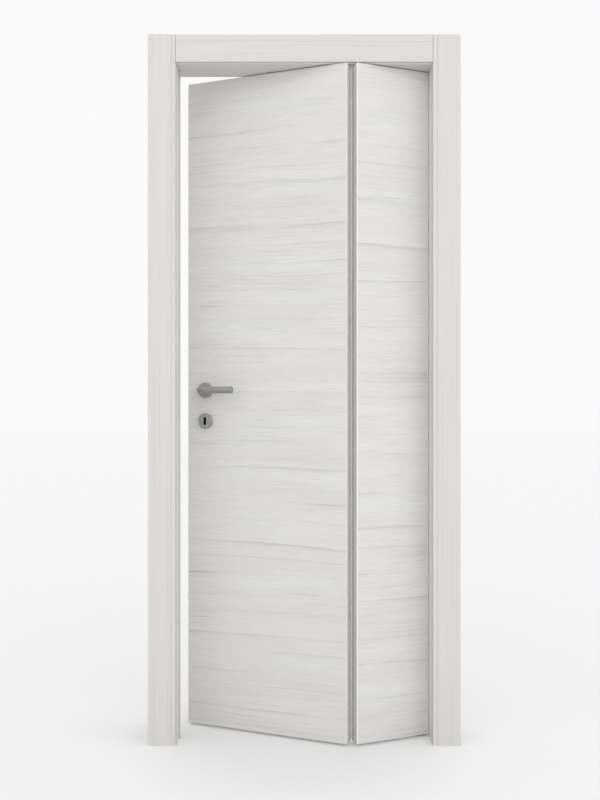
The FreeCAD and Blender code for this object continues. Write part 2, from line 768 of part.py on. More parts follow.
def rose(z):
    disc = rod_through(rose_radius, lock_x, z, rose_face, -leaf_thick)
    return round_rim(disc, rose_arris, rose_radius, V(lock_x, rose_face, z))


front_rose = rose(lever_height)
rose_bore = rod_through(journal_radius + journal_play, lock_x, lever_height, rose_face - overrun,
                        -leaf_thick + overrun)
front_rose = front_rose.cut([rose_bore] + rose_bolts)
ring_outer = rod_through(rose_ring_radius, lock_x, key_height, rose_face - overrun,
                         rose_face + rose_ring_depth)
ring_inner = rod_through(rose_ring_radius - rose_ring_width, lock_x, key_height, rose_face - overrun,
                         rose_face + rose_ring_depth)
key_slot = slot(key_slot_width, key_slot_height, lock_x, key_height, rose_face - overrun,
                -leaf_thick + overrun)
front_key_rose = rose(key_height).cut([ring_outer.cut(ring_inner), key_slot] + rose_bolts)
save("front_rose", hang_wide(front_rose))
save("rear_rose", hang_wide(to_rear(front_rose)))
save("front_key_rose", hang_wide(front_key_rose))
save("rear_key_rose", hang_wide(to_rear(front_key_rose)))

lever_y = -leaf_thick - lever_offset
neck_y = rose_face - lever_rose_gap
bend_x = lock_x + lever_bend
bend_y = lever_y + lever_bend
tip_x = lock_x + lever_length
neck = rod_through(lever_radius, lock_x, lever_height, bend_y, neck_y)
elbow_face = Part.Face(Part.Wire(Part.makeCircle(lever_radius, V(lock_x, bend_y, lever_height), through)))
elbow = elbow_face.revolve(V(bend_x, bend_y, lever_height), up, 90)
grip = rod_across(lever_radius, bend_x, tip_x, lever_y, lever_height)
grip = round_rim(grip, lever_tip_arris, lever_radius, V(tip_x, lever_y, lever_height))
journal = rod_through(journal_radius, lock_x, lever_height, neck_y, -leaf_thick - journal_end_gap)
socket_end = spindle_y0 - spindle_end_play
spindle_socket = box(lock_x - half_spindle, lock_x + half_spindle, socket_end, -leaf_thick,
                     lever_height - half_spindle, lever_height + half_spindle)
front_lever = neck.fuse([elbow, grip, journal]).removeSplitter().cut(spindle_socket)
save("front_lever", hang_wide(front_lever))
save("rear_lever", hang_wide(to_rear(front_lever)))

# Trolley, square to the track
wheel_z = track_floor + wheel_radius + wheel_play
body_z0 = track_floor + trolley_lift
body_y0 = track_line - trolley_width / 2
body_y1 = track_line + trolley_width / 2
trolley_pin = rod(trolley_pin_radius, guide_x, track_line, leaf_top - pin_seat, body_z0 + trolley_height)
trolley_body = box(guide_x - half_trolley, guide_x + half_trolley, body_y0, body_y1, body_z0,
                   body_z0 + trolley_height)
axle_bores = []
for name, side in (("left_wheelset", -1), ("right_wheelset", 1)):
    x = guide_x + side * wheel_base / 2
    end_y0 = body_y0 - wheel_side_gap - wheel_width
    end_y1 = body_y1 + wheel_side_gap + wheel_width
    axle = rod_through(axle_radius, x, wheel_z, end_y0, end_y1)
    front_wheel = rod_through(wheel_radius, x, wheel_z, end_y0, end_y0 + wheel_width).cut(axle)
    rear_wheel = rod_through(wheel_radius, x, wheel_z, end_y1 - wheel_width, end_y1).cut(axle)
    save(name, [axle, front_wheel, rear_wheel])
    axle_bores.append(rod_through(axle_radius + axle_play, x, wheel_z, body_y0 - overrun, body_y1 + overrun))
save("trolley_body", trolley_body.cut([trolley_pin] + axle_bores))
save("trolley_pin", trolley_pin)
print("fold axis", fold_x, fold_y, "guide", guide_x, "travel", far_guide_x, open_guide_x)
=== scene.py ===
import bmesh
import bpy
import math
import numpy as np
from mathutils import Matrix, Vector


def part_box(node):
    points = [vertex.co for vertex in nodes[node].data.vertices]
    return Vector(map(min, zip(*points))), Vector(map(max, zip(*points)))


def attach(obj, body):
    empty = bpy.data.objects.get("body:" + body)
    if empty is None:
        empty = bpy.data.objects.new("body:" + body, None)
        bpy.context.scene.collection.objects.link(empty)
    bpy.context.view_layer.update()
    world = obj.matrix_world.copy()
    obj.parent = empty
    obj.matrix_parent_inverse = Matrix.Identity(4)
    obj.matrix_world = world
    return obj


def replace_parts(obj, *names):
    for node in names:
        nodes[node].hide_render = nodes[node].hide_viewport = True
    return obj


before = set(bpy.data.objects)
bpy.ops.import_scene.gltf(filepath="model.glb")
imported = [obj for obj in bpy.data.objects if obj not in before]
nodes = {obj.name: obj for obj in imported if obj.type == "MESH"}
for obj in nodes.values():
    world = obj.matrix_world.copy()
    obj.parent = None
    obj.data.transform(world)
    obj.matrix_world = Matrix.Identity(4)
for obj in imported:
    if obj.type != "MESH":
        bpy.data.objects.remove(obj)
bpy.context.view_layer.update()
print("frame loaded:", len(nodes), "nodes")

turn = math.radians(19.5)  # how far each leaf stands from closed
foldAxis = (0.146066, 0.019354)  # x and y of the hinge pin
wideAlong = (math.cos(turn), -math.sin(turn), 0.0)  # from the free edge to the fold
narrowAlong = (math.cos(turn), math.sin(turn), 0.0)  # from the fold to the pivot jamb
wideOut = (-math.sin(turn), -math.cos(turn), 0.0)  # out of the wide leaf's front
narrowOut = (math.sin(turn), -math.cos(turn), 0.0)
acrossWall = (1.0, 0.0, 0.0)
intoWall = (0.0, 1.0, 0.0)
upright = (0.0, 0.0, 1.0)


def foldAlong(way):  # where the hinge pin lies along a level direction
    return foldAxis[0] * way[0] + foldAxis[1] * way[1]


class Wire:  # an output socket; sums on it add Math nodes to its finish
    def __init__(self, finish, socket):
        self.finish = finish
        self.socket = socket

    def sums(self, operation, *terms):
        return self.finish.node("ShaderNodeMath", {"operation": operation}, dict(enumerate(terms)))

    def __add__(self, other):
        return self.sums("ADD", self, other)

    def __radd__(self, other):
        return self.sums("ADD", other, self)

    def __sub__(self, other):
        return self.sums("SUBTRACT", self, other)

    def __rsub__(self, other):
        return self.sums("SUBTRACT", other, self)

    def __mul__(self, other):
        return self.sums("MULTIPLY", self, other)

    def __rmul__(self, other):
        return self.sums("MULTIPLY", other, self)

    def __pow__(self, other):
        return self.sums("POWER", self, other)

    def __rpow__(self, other):
        return self.sums("POWER", other, self)

    def floor(self):
        return self.sums("FLOOR", self)

    def fract(self):
        return self.sums("FRACT", self)


class Finish:  # one node tree, of a material or of the world
    def __init__(self, name, tree=None):
        self.material = None
        if tree is None:
            self.material = bpy.data.materials.new(name)
            self.material.use_nodes = True
            tree = self.material.node_tree
        self.tree = tree
        tree.nodes.clear()

    def node(self, kind, settings=None, sockets=None, out=0):
        made = self.tree.nodes.new(kind)
        for key, value in (settings or {}).items():
            setattr(made, key, value)
        for key, value in (sockets or {}).items():
            if isinstance(value, Wire):
                self.tree.links.new(value.socket, made.inputs[key])
            elif made.inputs[key].type == "RGBA":
                made.inputs[key].default_value = (*value, 1.0)
            else:
                made.inputs[key].default_value = value
        return Wire(self, made.outputs[out]) if made.outputs else made

    def place(self):
        return self.node("ShaderNodeTexCoord", out="Object")

    def along(self, place, way):  # how far a point lies along a direction, in metres
        return self.node("ShaderNodeVectorMath", {"operation": "DOT_PRODUCT"}, {0: place, 1: way}, "Value")

    def axes(self):
        place = self.place()
        return [self.along(place, way) for way in (acrossWall, intoWall, upright)]

    def noise(self, x, y, z, detail=2.0, rough=0.5):
        where = self.node("ShaderNodeCombineXYZ", {}, {0: x, 1: y, 2: z})
        return self.node("ShaderNodeTexNoise", {}, {"Vector": where, "Scale": 1.0, "Detail": detail,
                                                    "Roughness": rough})

    def cells(self, axes, perMetre, detail, rough=0.5):  # noise with so many cells per metre each way
        return self.noise(*(way * count for way, count in zip(axes, perMetre)), detail, rough)

    def rise(self, value, low, high):  # smooth step between low and high
        return self.node("ShaderNodeMapRange", {"interpolation_type": "SMOOTHSTEP"},
                         {"Value": value, "From Min": low, "From Max": high})

    def clamp(self, value):
        return self.node("ShaderNodeClamp", {}, {"Value": value})

    def blend(self, share, first, second):
        return self.node("ShaderNodeMix", {"data_type": "RGBA"}, {0: share, 6: first, 7: second}, 2)

    def bump(self, height, strength, distance):
        return self.node("ShaderNodeBump", {}, {"Strength": strength, "Distance": distance, "Height": height})

    def surface(self, sockets):
        skin = self.node("ShaderNodeBsdfPrincipled", {}, sockets)
        self.node("ShaderNodeOutputMaterial", {}, {"Surface": skin})
        return self.material


def dress(material, *names):
    for name in names:
        slots = nodes[name].data.materials
        slots.clear()
        slots.append(material)


# White-washed laminate. Rows of growth lines follow g, the way across the grain bent by slow noise; their
# spacing is uneven, each row has its own strength, and it darkens slowly up to a sharp edge.
leafLook = {"warm": (0.866, 0.848, 0.828), "cool": (0.863, 0.865, 0.855), "line": (0.50, 0.47, 0.44),
            "bend": 0.058, "ripple": 0.010, "rows": 17.0, "uneven": 1.6, "rowDepth": 0.58, "rowEdge": 13.0,
            "thin": 150.0, "thinDepth": 0.70, "fibre": 420.0, "fibreDepth": 0.66, "wash": 0.34,
            "veil": 0.172, "rough": 0.5}
casingLook = {"warm": (0.772, 0.746, 0.722), "cool": (0.772, 0.762, 0.745), "line": (0.52, 0.49, 0.455),
              "bend": 0.004, "ripple": 0.0006, "rows": 70.0, "uneven": 1.2, "rowDepth": 0.30, "rowEdge": 3.0,
              "thin": 210.0, "thinDepth": 0.20, "fibre": 700.0, "fibreDepth": 0.12, "wash": 0.25,
              "veil": 0.0, "rough": 0.5}
headLook = dict(casingLook, bend=0.012, rowDepth=0.40)
jambLook = dict(casingLook, rowDepth=0.2)
# Painted shade: the pivot jamb is a shade darker than the other jambs, standing in for the shade on its
# reveal.
pivotJambShadeAndLightLook = dict(jambLook, warm=(0.715, 0.691, 0.669), cool=(0.715, 0.705, 0.690),
                     deep={"from": 0.035, "to": 0.075, "colour": (0.88, 0.865, 0.85)})  # painted light: paler deeper in the recess behind the leaf, lifting its shade
# Painted shade: the leaf bands are darker where they face each other in the fold's shade, the narrow one
# darker still.
foldShadeBandLook = dict(jambLook, rowDepth=0.12, warm=(0.66, 0.64, 0.621), cool=(0.66, 0.647, 0.631),
                line=(0.50, 0.48, 0.45))
narrowFoldShadeBandLook = dict(foldShadeBandLook, warm=(0.62, 0.602, 0.584), cool=(0.62, 0.608, 0.593))

# Edges with painted light and shade: a painted highlight on a leaf's front arris at the fold, a painted lit
# strip on the head jamb's front, painted shade on the side jambs' front and on the casings' inner edges. Each
# is full at "to" and gone at "from", both along the way out: for a leaf from the hinge pin, for a jamb from
# its front, for a casing from its inner edge. A leaf's band keeps its darker tone, painted shade, within
# "near" of the fold, and the tone given here from "far" on.
leafRimLook = {"from": 0.0378, "to": 0.0392, "near": 0.05, "far": 0.1}
# Painted highlight: the colour of each leaf's front arris at the fold, the narrow leaf's paler.
wideHighlightRimLook = dict(leafRimLook, colour=(0.84, 0.83, 0.815), warm=(0.755, 0.730, 0.706),
                   cool=(0.755, 0.745, 0.729))
narrowHighlightRimLook = dict(leafRimLook, colour=(0.93, 0.925, 0.91), warm=(0.86, 0.842, 0.822),
                     cool=(0.86, 0.85, 0.834))
# Painted light: a paler strip on the head jamb's front edge, below the casing.
headLitStripLook = {"from": -0.0024, "to": -0.0012, "colour": (0.90, 0.88, 0.86)}
# Painted shade: a dark line on the side jambs' front edge, next to the casing.
jambShadeRimLook = {"from": -0.0010, "to": -0.0004, "colour": (0.50, 0.485, 0.47)}
# Painted shade: the casings' inner edges darker than their faces.
casingShadeRimLook = {"from": -0.0015, "to": -0.0002, "colour": (0.69, 0.67, 0.65)}

# Noise of every laminate: cells per metre along the grain, a factor across it, a seed and the detail
grainNoise = {"slow": {"along": 1.1, "across": 1.3, "seed": 0.0, "detail": 1.0},  # long bends
              "quick": {"along": 5.0, "across": 4.0, "seed": 2.0, "detail": 1.0},  # ripples
              "bundle": {"along": 2.2, "across": 6.0, "seed": 50.0, "detail": 2.0},  # gathers the thin lines
              "fibre": {"along": 12.0, "across": 1.0, "seed": 21.0, "detail": 3.0, "rough": 0.6},
              "tone": {"along": 0.6, "across": 0.7, "seed": 30.0, "detail": 2.0},  # warm or cool
              "wash": {"along": 2.2, "across": 1.0, "seed": 41.0, "detail": 2.0}}  # white rubbed in unevenly
# Growth lines of every laminate; "faint" is how much of a line shows where it breaks off
grainLines = {"jitter": 0.55, "drift": 0.2, "rowStep": 3.7, "shows": (0.34, 0.64), "faint": 0.15,
              "row": {"broken": 2.6, "seed": 5.0},
              "thin": {"uneven": 1.0, "edge": 3.0, "broken": 5.0, "seed": 14.0}}
grainSkin = {"depth": 0.7, "bundled": (0.40, 0.66), "toned": (0.34, 0.66), "gloss": 0.16, "groove": 0.6,
             "relief": 0.12, "height": 0.0004}


def rimAt(base, out, look):  # a rim measured along out from base
    return dict(look, out=out, **{"from": base + look["from"], "to": base + look["to"]})


def leafRim(out, look):  # the rounded front edge at the fold, with its painted highlight
    return rimAt(foldAlong(out), out, look)


def frontRim(name, look):  # the front arris of a jamb: painted light on the head jamb, painted shade on the side jambs
    return rimAt(-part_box(name)[0][1], (0.0, -1.0, 0.0), look)


def casingShadeRim(name, out):  # painted shade: the inner edge of a casing darker than its face
    low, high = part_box(name)
    inner = max(sum(a * b for a, b in zip(corner, out)) for corner in (low, high))
    return rimAt(inner, out, casingShadeRimLook)


def laminate(name, look, alongWay, acrossWay, start=0.0, rim=None):
    f = Finish(name)
    place = f.place()
    deepWay = tuple(np.cross(alongWay, acrossWay))
    u = f.along(place, alongWay) - start
    v = f.along(place, acrossWay) + f.along(place, deepWay) * grainSkin["depth"]

    def layer(kind, across):
        s = grainNoise[kind]
        return f.noise(u * s["along"], across * s["across"], s["seed"], s["detail"], s.get("rough", 0.5))

    g = v + (layer("slow", v) - 0.5) * look["bend"] + (layer("quick", v) - 0.5) * look["ripple"]

    def growth(perMetre, uneven, edge, broken, seed):
        s = grainLines
        shift = f.noise(seed, g * perMetre * s["jitter"], u * s["drift"], detail=1.0)
        count = g * perMetre + shift * uneven
        row = count.floor()
        luck = f.node("ShaderNodeTexWhiteNoise", {"noise_dimensions": "1D"}, {"W": row + seed})
        shows = f.rise(f.noise(u * broken, row * s["rowStep"], seed, detail=1.0), *s["shows"])
        return count.fract() ** edge * luck * (shows * (1 - s["faint"]) + s["faint"])

    rows = growth(look["rows"], look["uneven"], look["rowEdge"], **grainLines["row"])
    bundles = f.rise(layer("bundle", v), *grainSkin["bundled"])
    thin = growth(look["thin"], **grainLines["thin"]) * bundles
    fibre = layer("fibre", g * look["fibre"])
    tone = f.rise(layer("tone", g * look["rows"]), *grainSkin["toned"])
    wash = layer("wash", g * look["rows"])
    colour = f.blend(tone, look["warm"], look["cool"])
    if rim and "near" in rim:  # painted shade: near the fold the band keeps its darker look; a leaf's other edge is about as pale as its face
        leafWay = tuple(np.cross(rim["out"], upright))
        inward = f.along(place, leafWay) - foldAlong(leafWay)
        atFold = 1 - f.rise(inward * inward, rim["near"] ** 2, rim["far"] ** 2)
        colour = f.blend(atFold, f.blend(tone, rim["warm"], rim["cool"]), colour)
    # Painted light: a look with "deep" turns paler further into the wall, lifting the shade in the recess
    # behind a leaf.
    if "deep" in look:
        deep = look["deep"]
        inside = f.rise(f.along(place, intoWall), deep["from"], deep["to"])
        colour = f.blend(inside, colour, deep["colour"])
    shade = rows * look["rowDepth"] + thin * look["thinDepth"] + look["veil"]
    shade = shade + (fibre - 0.5) * look["fibreDepth"] + (0.5 - wash) * look["wash"]
    colour = f.blend(f.clamp(shade), colour, look["line"])
    if rim:  # painted light and shade on edges: within a hair of the edge, and on a leaf close to the fold
        share = f.rise(f.along(place, rim["out"]), rim["from"], rim["to"])
        if "near" in rim:
            share = share * atFold
        colour = f.blend(share, colour, rim["colour"])
    gloss = grainSkin["gloss"]
    return f.surface({"Base Color": colour, "Roughness": fibre * gloss + look["rough"] - gloss / 2,
                      "Normal": f.bump(fibre - rows * grainSkin["groove"], grainSkin["relief"],
                                       grainSkin["height"])})


dress(laminate("wideLeafGrain", leafLook, wideAlong, upright, foldAlong(wideAlong)),
      "wide_front_skin", "wide_rear_skin")
dress(laminate("narrowLeafGrain", leafLook, narrowAlong, upright, foldAlong(narrowAlong)),
      "narrow_front_skin", "narrow_rear_skin")
for name, twin, out in (("front_left_casing", "rear_left_casing", (1.0, 0.0, 0.0)),
                        ("front_right_casing", "rear_right_casing", (-1.0, 0.0, 0.0))):
    dress(laminate(name + "_grain", casingLook, upright, acrossWall, rim=casingShadeRim(name, out)), name, twin)
headCasingShadeRim = casingShadeRim("front_head_casing", (0.0, 0.0, -1.0))
dress(laminate("headCasingGrain", headLook, acrossWall, upright, rim=headCasingShadeRim),
      "front_head_casing", "rear_head_casing")
jambShadeRim = frontRim("left_jamb", jambShadeRimLook)
dress(laminate("jambGrain", jambLook, upright, acrossWall, rim=jambShadeRim), "left_jamb", "left_stop")
dress(laminate("pivotJambGrain", pivotJambShadeAndLightLook, upright, acrossWall, rim=jambShadeRim), "right_jamb")
dress(laminate("soffitGrain", jambLook, acrossWall, upright, rim=frontRim("head_jamb", headLitStripLook)),
      "head_jamb")
dress(laminate("wideEdgeBand", foldShadeBandLook, upright, wideAlong, rim=leafRim(wideOut, wideHighlightRimLook)),
      "wide_edge_bands")
dress(laminate("narrowEdgeBand", narrowFoldShadeBandLook, upright, narrowAlong, rim=leafRim(narrowOut, narrowHighlightRimLook)),
      "narrow_edge_bands")
print("laminates done")

# Metals and coats: fine lines run one way over a soft cloudiness
satinLook = {"dark": (0.27, 0.267, 0.261), "light": (0.345, 0.341, 0.334), "lines": (900.0, 900.0, 900.0),
             "cloud": 60.0, "metal": 0.2, "rough": 0.42, "spread": 0.12, "relief": 0.08}
roseLook = dict(satinLook, dark=(0.345, 0.342, 0.334), light=(0.44, 0.436, 0.427),
                lines=(1400.0, 1400.0, 60.0))
# Painted light and shade on the hinge: one coat, the knuckles near white as a painted highlight, the plates
# darker as painted shade in the fold.
hingeLook = {"dark": (0.64, 0.63, 0.615), "light": (0.69, 0.68, 0.665), "lines": (1500.0, 1500.0, 20.0),
             "cloud": 25.0, "metal": 0.0, "rough": 0.45, "spread": 0.14, "relief": 0.10,
             "barrel": {"from": 0.0050, "to": 0.0062, "colour": (0.97, 0.965, 0.95)}}  # radii round the pin
trackLook = {"dark": (0.76, 0.755, 0.74), "light": (0.82, 0.815, 0.80), "lines": (15.0, 1500.0, 1500.0),
             "cloud": 20.0, "metal": 0.0, "rough": 0.40, "spread": 0.12, "relief": 0.10}
zincLook = {"dark": (0.44, 0.44, 0.45), "light": (0.62, 0.62, 0.61), "lines": (400.0, 400.0, 400.0),
            "cloud": 130.0, "metal": 1.0, "rough": 0.36, "spread": 0.20, "relief": 0.12}
boltLook = dict(zincLook, dark=(0.33, 0.325, 0.315), light=(0.47, 0.46, 0.445), cloud=90.0)
screwLook = dict(zincLook, dark=(0.38, 0.38, 0.39), light=(0.56, 0.56, 0.55), cloud=400.0)
# The hinge screws take the plates' darkened coat, painted shade in the fold.
coatedLook = {"dark": (0.64, 0.63, 0.615), "light": (0.69, 0.68, 0.665), "lines": (900.0, 900.0, 900.0),
              "cloud": 300.0, "metal": 0.0, "rough": 0.45, "spread": 0.14, "relief": 0.10}
metalSkin = {"fine": 0.6, "lineShare": 0.5, "cloudShare": 0.5, "tone": (0.2, 0.8), "height": 0.0002}


def metal(name, look):
    f = Finish(name)
    s = metalSkin
    axes = f.axes()
    lines = f.cells(axes, look["lines"], 3.0, s["fine"])
    cloud = f.cells(axes, [look["cloud"]] * 3, 2.0)
    tone = f.rise(lines * s["lineShare"] + cloud * s["cloudShare"], *s["tone"])
    colour = f.blend(tone, look["dark"], look["light"])
    if "barrel" in look:  # painted highlight and shade: the knuckles round the hinge pin near white, the plates a darker copy of the coat
        barrel = look["barrel"]
        x, y = axes[0] - foldAxis[0], axes[1] - foldAxis[1]
        outside = f.rise(x * x + y * y, barrel["from"] ** 2, barrel["to"] ** 2)
        colour = f.blend(outside, barrel["colour"], colour)
    return f.surface({"Base Color": colour, "Metallic": look["metal"],
                      "Roughness": lines * look["spread"] + look["rough"] - look["spread"] / 2,
                      "Normal": f.bump(lines, look["relief"], s["height"])})


dress(metal("satinNickel", satinLook), "front_lever", "rear_lever")
dress(metal("brushedNickel", roseLook), "front_rose", "rear_rose", "front_key_rose", "rear_key_rose")
dress(metal("hingeCoat", hingeLook), "narrow_hinge_leaf", "wide_hinge_leaf")
dress(metal("trackCoat", trackLook), "top_track", "bottom_pivot_bracket")
dress(metal("zincPlate", zincLook), "strike_plate", "lock_case", "lock_cover", "lock_faceplate", "follower",
      "trolley_body", "hinge_pin", "bottom_pivot_pin", "top_pivot_pin", "trolley_pin", "spindle")
dress(metal("nickelBolt", boltLook), "latch_bolt", "deadbolt")
screwSteel = metal("screwSteel", screwLook)
coatedSteel = metal("coatedSteel", coatedLook)
dress(screwSteel, "rose_bolts")
print("metals done")

# Mouldings: a fine skin with faint flow marks
nylonLook = {"dark": (0.74, 0.735, 0.72), "light": (0.84, 0.835, 0.82), "grain": 900.0, "flow": 70.0,
             "rough": 0.45, "relief": 0.10}
sealLook = {"dark": (0.58, 0.565, 0.54), "light": (0.68, 0.665, 0.64), "grain": 1400.0, "flow": 40.0,
            "rough": 0.75, "relief": 0.15}
# Painted shade: near black, standing in for the shade inside the keyholes.
keyholeShadeLook = {"dark": (0.006, 0.006, 0.006), "light": (0.012, 0.012, 0.012), "grain": 1800.0, "flow": 200.0,
             "rough": 0.8, "relief": 0.10}
mouldedSkin = {"gloss": 0.2, "height": 0.0003}


def moulding(name, look):
    f = Finish(name)
    s = mouldedSkin
    axes = f.axes()
    grain = f.cells(axes, [look["grain"]] * 3, 3.0)
    flow = f.cells(axes, [look["flow"]] * 3, 2.0)
    colour = f.blend(flow, look["dark"], look["light"])
    return f.surface({"Base Color": colour, "Roughness": grain * s["gloss"] + look["rough"] - s["gloss"] / 2,
                      "Normal": f.bump(grain, look["relief"], s["height"])})


dress(moulding("whiteNylon", nylonLook), "top_pivot_socket", "pivot_housings", "guide_housing",
      "left_wheelset", "right_wheelset")
dress(moulding("paleSeal", sealLook), "strike_gasket", "track_stops")
keyholeShade = moulding("keyholeShade", keyholeShadeLook)
print("mouldings done")

# Woods inside the leaves, sealed pale: softwood with rings across a slanted way, and pressed chips
softwoodLook = {"early": (0.84, 0.80, 0.74), "late": (0.75, 0.69, 0.61), "rings": 260.0, "slant": (0.8, 0.6),
                "drift": (6.0, 6.0, 1.2), "wander": 0.02, "ringEdge": 2.0, "ringShare": 0.7,
                "fibre": (500.0, 500.0, 9.0), "fibreShare": 0.3, "gloss": 0.15, "rough": 0.55, "relief": 0.2,
                "height": 0.0004}
chipLook = {"dark": (0.42, 0.34, 0.25), "light": (0.66, 0.57, 0.45), "chips": 260.0, "tint": (0.6, 0.3, 0.1),
            "gloss": 0.15, "rough": 0.65, "relief": 0.35, "height": 0.0005}


def softwood(name, look):
    f = Finish(name)
    axes = f.axes()
    drift = f.cells(axes, look["drift"], 2.0) - 0.5
    slantX, slantY = look["slant"]
    ring = (axes[0] * slantX + axes[1] * slantY + drift * look["wander"]) * look["rings"]
    late = ring.fract() ** look["ringEdge"]
    fibre = f.cells(axes, look["fibre"], 3.0)
    dark = late * look["ringShare"] + fibre * look["fibreShare"]
    return f.surface({"Base Color": f.blend(dark, look["early"], look["late"]),
                      "Roughness": fibre * look["gloss"] + look["rough"],
                      "Normal": f.bump(fibre, look["relief"], look["height"])})


def chipboard(name, look):
    f = Finish(name)
    chips = f.node("ShaderNodeTexVoronoi", {}, {"Vector": f.place(), "Scale": look["chips"]}, "Color")
    tint = f.along(chips, look["tint"])
    return f.surface({"Base Color": f.blend(tint, look["dark"], look["light"]),
                      "Roughness": tint * look["gloss"] + look["rough"],
                      "Normal": f.bump(tint, look["relief"], look["height"])})


dress(softwood("sealedSoftwood", softwoodLook), "narrow_stiles", "narrow_rails", "wide_stiles", "wide_rails",
      "lock_block")
dress(chipboard("pressedChips", chipLook), "narrow_core", "wide_core")
print("woods done")

weld = 1e-6  # points closer than this are one


# Grids of points (count, rows, columns, 3), each closed round its columns, as one mesh piece on a body
def gridPiece(name, sets, material, body):
    count, rows, columns, _ = sets.shape
    down, around = np.meshgrid(np.arange(rows - 1), np.arange(columns), indexing="ij")
    after = (around + 1) % columns
    quads = np.stack([down * columns + around, down * columns + after, (down + 1) * columns + after,
                      (down + 1) * columns + around], -1).reshape(-1, 4)
    shifts = np.arange(count)[:, None, None] * rows * columns
    mesh = bpy.data.meshes.new(name)
    mesh.from_pydata(sets.reshape(-1, 3).tolist(), [], (quads[None] + shifts).reshape(-1, 4).tolist())
    made = bmesh.new()
    made.from_mesh(mesh)
    bmesh.ops.remove_doubles(made, verts=made.verts, dist=weld)  # closes poles
    bmesh.ops.recalc_face_normals(made, faces=made.faces)
    made.to_mesh(mesh)
    made.free()
    mesh.materials.append(material)
    piece = bpy.data.objects.new(name, mesh)
    bpy.context.scene.collection.objects.link(piece)
    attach(piece, body)
    return piece


# Countersunk screws. Polar grid: rings run out over the head, down its cone and along the shank to a point;
# over the head the depth is that of two crossed slots with sloping walls, and thread waves along the shank.
screwShape = {"columns": 48, "headRings": 22, "coneRings": 4, "perPitch": 4, "fit": 0.97, "rim": 0.4,
              "armLong": 0.66, "armWide": 0.13, "wall": 0.10, "deep": 0.42, "pitch": 0.0018, "core": 0.9,
              "thread": 0.10, "threadEnd": 0.003, "taper": 0.002, "tip": 0.7, "firstSpin": 0.3,
              "nextSpin": 1.7}
fittingScrew = {"slot": "screw_steel", "head": 0.0035, "thick": 0.0012, "shank": 0.00175, "length": 0.0124}
cornerScrew = {"slot": "screw_steel", "head": 0.005, "thick": 0.004, "shank": 0.0025, "length": 0.064}
hingeScrew = {"slot": "screw_steel", "head": 0.003, "thick": 0.0008, "shank": 0.0015, "length": 0.0258,
              "finish": coatedSteel}
hingeHeights = [0.1420625 + 0.260125 * k for k in range(8)]
lockHeights = (0.945, 1.155)
screwSets = {
    "hardwareScrews": dict(fittingScrew, node="hardware_screws", body="frame",
                           places=[(x, 0.07, 2.1192) for x in (-0.08383, 0.038118, 0.200716)]
                           + [(0.407, y, 0.0) for y in (0.061, 0.079)]
                           + [(-0.4075, 0.07, z) for z in lockHeights],
                           outs=[(0, 0, -1)] * 5 + [(1, 0, 0)] * 2),
    "cornerScrews": dict(cornerScrew, node="corner_screws", body="frame",
                         places=[(x, y, 2.11) for y in (0.03, 0.0864) for x in (-0.426, 0.426)],
                         outs=[(-1, 0, 0), (1, 0, 0)] * 2),
    "narrowHingeScrews": dict(hingeScrew, node="narrow_hinge_screws", body="narrow_leaf",
                              places=[(0.153025, 0.000602, z) for z in hingeHeights],
                              outs=[(-narrowAlong[0], -narrowAlong[1], 0)] * 8),
    "wideHingeScrews": dict(hingeScrew, node="wide_hinge_screws", body="wide_leaf",
                            places=[(0.139107, 0.000602, z) for z in hingeHeights], outs=[wideAlong] * 8),
    "faceplateScrews": dict(fittingScrew, node="faceplate_screws", body="wide_leaf",
                            places=[(-0.37369, 0.182192, z) for z in lockHeights],
                            outs=[(-wideAlong[0], -wideAlong[1], 0)] * 2),
}


def screwPiece(name, kit):
    s = screwShape
    head, shank, thick, length = kit["head"] * s["fit"], kit["shank"], kit["thick"], kit["length"]
    shaft = np.arange(thick, length - s["threadEnd"], s["pitch"] / s["perPitch"])
    wave = shank * (s["core"] + s["thread"] * np.cos(shaft * 2 * math.pi / s["pitch"]))
    radius = np.concatenate([np.linspace(0.0, head, s["headRings"]), np.linspace(head, shank, s["coneRings"]),
                             wave, [shank * s["tip"], 0.0]])
    depth = np.concatenate([np.zeros(s["headRings"]), np.linspace(thick * s["rim"], thick, s["coneRings"]),
                            shaft, [length - s["taper"], length]])
    angle = np.linspace(0.0, 2 * math.pi, s["columns"], endpoint=False)
    x = radius[:, None] * np.cos(angle)
    y = radius[:, None] * np.sin(angle)
    wall = s["wall"] * head

    def arm(a, b):
        across = np.clip((s["armWide"] * head + wall - abs(b)) / wall, 0, 1)
        return across * np.clip((s["armLong"] * head + wall - abs(a)) / wall, 0, 1)

    onTop = (np.arange(len(radius)) < s["headRings"])[:, None]
    sink = depth[:, None] + onTop * np.maximum(arm(x, y), arm(y, x)) * s["deep"] * head
    places = np.array(kit["places"], float)
    out = np.array(kit["outs"], float)
    level = out[:, 2:] == 0
    side = np.cross(out, np.where(level, upright, acrossWall))
    side /= np.linalg.norm(side, axis=1)[:, None]
    other = np.cross(out, side)
    spin = s["firstSpin"] + s["nextSpin"] * np.arange(len(places))[:, None]
    first = side * np.cos(spin) + other * np.sin(spin)
    second = np.cross(out, first)
    sets = places[:, None, None] + x[None, ..., None] * first[:, None, None] \
        + y[None, ..., None] * second[:, None, None] - sink[None, ..., None] * out[:, None, None]
    finish = kit.get("finish", screwSteel)
    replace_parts(gridPiece(name, sets, finish, kit["body"]), kit["node"])


for setName, kit in screwSets.items():
    screwPiece(setName, kit)
print("screws done")

